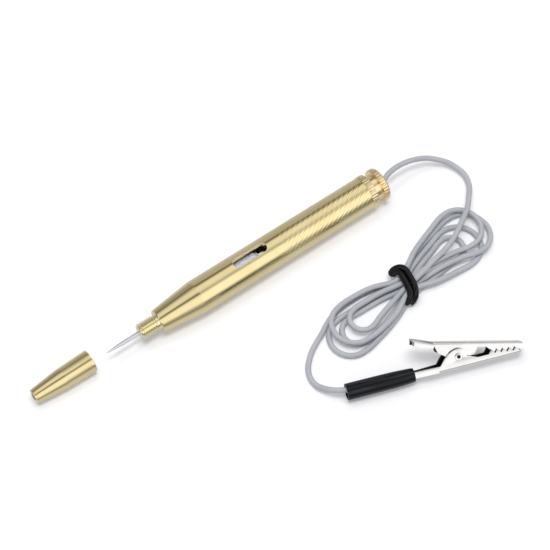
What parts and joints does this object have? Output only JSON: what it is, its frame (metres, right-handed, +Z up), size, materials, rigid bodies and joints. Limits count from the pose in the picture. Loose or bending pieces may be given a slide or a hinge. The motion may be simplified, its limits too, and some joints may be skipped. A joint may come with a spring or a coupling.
{
  "type": "circuit tester",
  "caption": "Pen-type brass circuit tester: lamp behind a window slot, needle probe with its tip cap lying in front, fluted tail cap, and a tied grey lead ending in a spring clip.",
  "frame": {"origin": "below the middle of the pen and its tip cap, on the surface that they lie on", "axes": "+X along the pen from the needle towards the tail, +Z up, the side that the window slot faces"},
  "size_m": [0.1759, 0.0879, 0.0126],
  "materials": {
    "brass": "turned and polished",
    "tail_brass": "turned and polished, a little redder",
    "steel": "bright drawn",
    "nickel": "bright nickel plate",
    "glass": "clear blown glass",
    "black_plastic": "moulded",
    "liner_plastic": "extruded tube",
    "copper": "tinned copper strands",
    "lead": "grey extruded PVC",
    "tie": "glossy black rubber",
    "sleeve": "black PVC sleeve"
  },
  "bodies": {
    "tester": {"barrel": "brass", "probe_needle": "steel", "tip_cap": "brass", "tail_cap": "tail_brass", "tail_bush": "black_plastic", "insulating_liner": "liner_plastic", "lamp_front_cap": "nickel", "lamp_glass": "glass", "lamp_filament": "steel", "lamp_rear_cap": "nickel", "contact_spring": "steel", "contact_plug": "brass", "plug_conductor": "copper", "lead_from_pen": "lead", "lead_hank": "lead", "lead_to_clip": "lead", "hank_tie": "tie", "clip_sleeve": "sleeve", "clip_conductor": "copper", "lower_jaw": "nickel", "pivot_eyelet": "nickel", "clip_spring": "steel"},
    "jaw": {"upper_jaw": "nickel"}
  },
  "joints": [
    {"name": "clip_pivot", "type": "hinge", "parent": "tester", "child": "jaw", "pos_m": [0.05195, -0.06966, 0.00511], "axis": [-0.1913, -0.5255, 0.829], "range_deg": [0, 22], "stiffness_Nm_per_rad": 0.1, "springref_deg": -45.84, "deforming": ["clip_spring"]}
  ]
}
